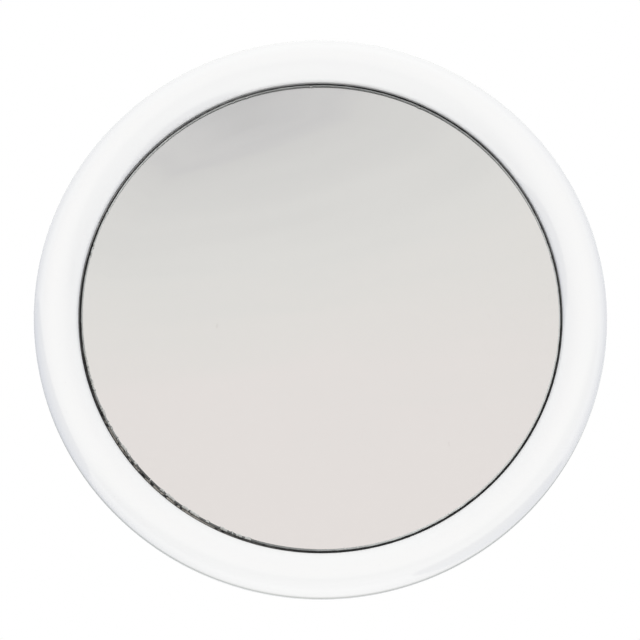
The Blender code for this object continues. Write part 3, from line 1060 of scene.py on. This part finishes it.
def make_cups():
    """Three cups of one moulding, each with a ridged pull tab that points outwards."""
    pattern = turned("cup_pattern", cup_profile(), CUP_STEPS)
    tab_low = (CUP_LIP_THICKNESS - TAB_THICKNESS) / 2
    tab_high = tab_low + TAB_THICKNESS
    outline = tab_outline()
    added = [lofted("cup_tab", [(outline, tab_low), (outline, tab_high)])]
    bead = arc((0, 0), (GRIP_RADIUS, GRIP_LENGTH), 0, 345, 23)
    for k in range(GRIP_COUNT):
        across = CUP_RADIUS + TAB_LENGTH - TAB_WIDTH / 4 - GRIP_SPACING * (k + 0.5)
        added.append(lofted("cup_grip", [
            (moved(bead, (across, 0)), tab_high - TAB_THICKNESS / 2)
        ] + [
            (moved(scaled(bead, wide, long), (across, 0)), tab_high + GRIP_RADIUS * height)
            for wide, long, height in GRIP_LAYERS
        ]))
    combine(pattern, added, "UNION")
    for name, (body, angle) in CUP_PLACES.items():
        cup = place_copy(pattern, name + "_vinyl", polar(cup_circle, angle), angle)
        settle(cup, clear_vinyl, body, "clear_vinyl", name)
    bpy.data.objects.remove(pattern)


def make_screws():
    """Thread-forming screws with a pan head and a cross recess, their heads to the wall."""
    head = arc(
        (SCREW_HEAD_RADIUS - SCREW_HEAD_ROUND, screw_head_back + SCREW_HEAD_ROUND),
        (SCREW_HEAD_ROUND, SCREW_HEAD_ROUND), -90, 0, 8,
    )
    thread_start = screw_base + SCREW_PLAIN_LENGTH
    thread_length = screw_tip - SCREW_TIP_LENGTH - thread_start
    under_head = [(SCREW_HEAD_RADIUS, screw_base), (SCREW_CORE_RADIUS, screw_base)]
    shank = [
        (SCREW_CORE_RADIUS, thread_start + length) for length in spaced(thread_length, THREAD_ROWS)
    ]
    above = [(0, screw_head_back)] + head + under_head
    first, last = len(above), len(above) + THREAD_ROWS

    def shape(row, angle, radius, depth):
        if not first <= row <= last:
            return radius, depth
        turn = (depth - thread_start) / SCREW_PITCH - angle / math.tau
        peak = max(0.0, 1 - abs(turn % 1.0 - 0.5) / THREAD_HALF_SHARE)
        ends = min(1.0, (row - first) / THREAD_FADE_ROWS, (last - row) / THREAD_FADE_ROWS)
        return radius + (SCREW_THREAD_RADIUS - SCREW_CORE_RADIUS) * peak * ends, depth

    profile = above + shank + [(0, screw_tip)]
    pattern = turned("screw_pattern", profile, SMALL_STEPS, shape=shape)
    mouth = rectangle(-RECESS_SPAN / 2, RECESS_SPAN / 2, RECESS_WIDTH)
    floor = scaled(mouth, RECESS_FLOOR_SHARE, RECESS_FLOOR_SHARE)
    slots = [
        lofted("recess", [
            (moved(mouth, (0, 0), angle), screw_head_back - OVERRUN),
            (moved(mouth, (0, 0), angle), screw_head_back),
            (moved(floor, (0, 0), angle), screw_head_back + RECESS_DEPTH),
        ])
        for angle in (0, math.pi / 2)
    ]
    combine(pattern, slots, "DIFFERENCE")
    for name, angle in screw_angles():
        centre = polar(post_circle, angle)
        screw = place_copy(pattern, name + "_steel", centre, angle * SCREW_TURN)
        settle(screw, bright_steel, "mirror", "bright_steel", name)
    bpy.data.objects.remove(pattern)


# Studio

def shown_rays(tree, rays):
    """1 for what the camera, a gloss or a clear piece sees, and 0 for the rays that light."""
    some = calculated(tree, "ADD", rays["Is Camera Ray"], rays["Is Glossy Ray"])
    return calculated(tree, "ADD", some, rays["Is Transmission Ray"], clamp=True)


def patch(tree, look, direction, cosine, edge):
    """1 within a cone about this direction, with a soft edge."""
    dot = dotted(tree, look, Vector(direction).normalized())
    return ranged(tree, dot, (cosine - edge, cosine + edge), smooth_steps=True)


def window(tree, look, direction, across, up):
    """1 within an ellipse about this direction, whose half spans are sines of angles."""
    aim = Vector(direction).normalized()
    sideways = Vector((0.0, 0.0, 1.0)).cross(aim).normalized()
    upwards = aim.cross(sideways)
    x, y, facing = [dotted(tree, look, axis) for axis in (sideways / across, upwards / up, aim)]
    inside = ranged(tree, length_of(tree, joined(tree, X=x, Y=y)), WINDOW_EDGE, smooth_steps=True)
    return calculated(tree, "MULTIPLY", inside, ranged(tree, facing, WINDOW_FACING))


def room_tones(tree, axes):
    """The tones ahead of the mirror, in streaks that lean and waver."""
    lean = calculated(tree, "MULTIPLY", axes["X"], ranged(tree, axes["Z"], LEAN_HEIGHTS, LEANS))
    level_line = calculated(tree, "ADD", axes["Z"], lean)
    stretched = joined(
        tree,
        X=calculated(tree, "MULTIPLY", axes["X"], STREAK_STRETCH[0]),
        Z=calculated(tree, "MULTIPLY", level_line, STREAK_STRETCH[1]),
    )
    wander = ranged(tree, noisy(tree, stretched, 1.0), NOISE_SPAN, STREAK_WANDER)
    calm = ranged(tree, axes["Z"], CALM_HEIGHTS, CALMS)
    height = calculated(tree, "ADD", level_line, calculated(tree, "MULTIPLY", wander, calm))
    return ramp(tree, ranged(tree, height, FULL_SPAN), ROOM_TONES)


def surroundings(tree, look, axes):
    """What a gloss or a mirror sees in each direction."""
    ahead = ranged(tree, axes["Y"], AHEAD_SPAN, smooth_steps=True)
    around = mixed(tree, ahead, AROUND_ROOM, room_tones(tree, axes))
    dark = mixed(tree, ranged(tree, axes["Y"], DARK_SPAN), *DARK_TONES)
    for direction, across, up in DARK_WINDOWS:
        around = mixed(tree, window(tree, look, direction, across, up), around, dark)
    behind = ranged(tree, axes["Y"], BEHIND_SPAN, smooth_steps=True)
    around = mixed(tree, behind, around, BEHIND_ROOM)
    for direction, cosine, edge, colour in SHADED_PATCHES:
        around = mixed(tree, patch(tree, look, direction, cosine, edge), around, colour)
    return around


def make_world():
    """A white backdrop, the room that glosses show, and a plain light of its own."""
    world = bpy.data.worlds.new("studio")
    bpy.context.scene.world = world
    world.use_nodes = True
    tree = world.node_tree
    tree.nodes.clear()
    look = node(tree, "TexCoord").outputs["Generated"]
    axes = split(tree, look)
    rays = node(tree, "LightPath").outputs
    shown = shown_rays(tree, rays)
    seen = mixed(tree, rays["Is Camera Ray"], surroundings(tree, look, axes), WHITE)
    backdrop = node(tree, "Background", {"Color": seen, "Strength": 1.0})
    rear = ranged(tree, axes["Y"], REAR_SPAN, smooth_steps=True)
    up_or_down = ranged(tree, axes["Z"], FULL_SPAN)
    dimming = calculated(tree, "SUBTRACT", 1.0, grey_ramp(tree, up_or_down, REAR_LEVELS))
    front_level = ranged(tree, axes["Z"], FULL_SPAN, FRONT_LEVELS)
    shade = calculated(tree, "MULTIPLY", rear, dimming)
    level = calculated(tree, "SUBTRACT", front_level, shade)
    aside = calculated(tree, "POWER", axes["X"], 2.0)
    colour = mixed(tree, aside, *LIGHT_COLOURS)
    light = node(tree, "Background", {"Color": colour, "Strength": level})
    both = node(tree, "MixShader", {0: shown, 1: light.outputs[0], 2: backdrop.outputs[0]})
    node(tree, "OutputWorld", {"Surface": both.outputs[0]})


def make_floor():
    """A pale floor well below the mirror, which keeps its shadow."""
    outline = rectangle(-FLOOR_HALF, FLOOR_HALF, FLOOR_HALF * 2)
    points = [(x, y, FLOOR_HEIGHT) for x, y in outline]
    floor = new_mesh("floor", points, [(0, 1, 2, 3)])
    material = bpy.data.materials.new("studio_floor")
    material.use_nodes = True
    tree = material.node_tree
    tree.nodes.clear()
    where = node(tree, "TexCoord").outputs["Object"]
    grain = noisy(tree, where, FLOOR_SCALE, 3.0)
    surface = node(tree, "BsdfDiffuse", {"Color": mixed(tree, grain, *FLOOR_TONES)})
    node(tree, "OutputMaterial", {"Surface": surface.outputs[0]})
    floor.data.materials.append(material)
    floor.visible_glossy = False
    floor.visible_diffuse = False


def make_lamp(name, place, size, energy):
    """A round lamp aimed at the mirror, which no gloss or camera shows."""
    data = bpy.data.lights.new(name, "AREA")
    data.shape = "DISK"
    data.size = size
    data.energy = energy
    lamp = new_object(name, data)
    lamp.location = place
    lamp.rotation_euler = (-Vector(place)).to_track_quat("-Z", "Y").to_euler()
    lamp.visible_glossy = False
    lamp.visible_camera = False


def make_camera():
    """The photograph's viewing angle and frame, from further off than the mirror is wide."""
    a, e = VIEW_AZIMUTH, VIEW_ELEVATION
    back = Vector((math.sin(a) * math.cos(e), -math.cos(a) * math.cos(e), math.sin(e)))
    turn = (-back).to_track_quat("-Z", "Y")
    slip = turn @ Vector((*VIEW_SLIP, 0.0))
    data = bpy.data.cameras.new("camera")
    data.sensor_width = SENSOR_WIDTH
    data.lens = SENSOR_WIDTH * PIXELS_PER_METRE * VIEW_DISTANCE / IMAGE_WIDTH
    data.clip_start, data.clip_end = VIEW_CLIP
    camera = new_object("camera", data)
    camera.rotation_mode = "QUATERNION"
    camera.rotation_quaternion = turn
    target = Vector((0.0, VIEW_BEHIND_RIM - rim_base, 0.0))
    camera.location = target + slip + back * VIEW_DISTANCE
    bpy.context.scene.camera = camera


white_front = make_white_plastic(
    "white_plastic_front", PLASTIC_FRONT, roughness=0.05, texture=0.01, gloss=1.0
)
white_rear = make_white_plastic(
    "white_plastic_rear", PLASTIC_REAR, roughness=0.26, texture=0.08
)
clear_glass = make_clear_glass()
ground_glass = make_ground_glass()
chipped_glass = make_grained(
    "chipped_glass", scale=1400.0, detail=3.0, roughness=(0.1, 0.35),
    tones=((0.62, 0.63, 0.60), (0.92, 0.92, 0.90)),
    fixed={"IOR": GLASS_IOR}, bump=(0.6, 0.0001),
)
glass_side = make_glass_side()
mirror_silver = make_grained(
    "mirror_silver", scale=30.0, detail=2.0, roughness=(0.0, 0.015),
    tones=((0.925, 0.93, 0.925), (0.945, 0.945, 0.94)),
    fixed={"Metallic": 1.0},
)
backing_paint = make_grained(
    "backing_paint", scale=260.0, detail=4.0, roughness=(0.5, 0.7),
    tones=((0.10, 0.105, 0.11), (0.15, 0.155, 0.16)),
    bump=(0.2, 0.0001),
)
black_foam = make_black_foam()
clear_vinyl = make_grained(
    "clear_vinyl", scale=120.0, detail=3.0, roughness=(0.08, 0.2),
    tones=((0.90, 0.94, 0.95), (0.96, 0.98, 0.98)),
    fixed={"Transmission Weight": 0.92, "IOR": VINYL_IOR}, bump=(0.15, 0.0003),
)
bright_steel = make_grained(
    "bright_steel", scale=1500.0, detail=4.0, roughness=(0.2, 0.38),
    tones=((0.55, 0.56, 0.58), (0.74, 0.74, 0.75)),
    fixed={"Metallic": 1.0}, bump=(0.2, 0.00003),
)

make_front_frame()
make_glass()
make_backing()
make_tape()
make_pad()
make_rear_cover()
make_cups()
make_screws()

make_world()
make_floor()
for lamp_facts in LAMPS:
    make_lamp(*lamp_facts)
make_camera()

bpy.context.scene.view_settings.view_transform = "Standard"
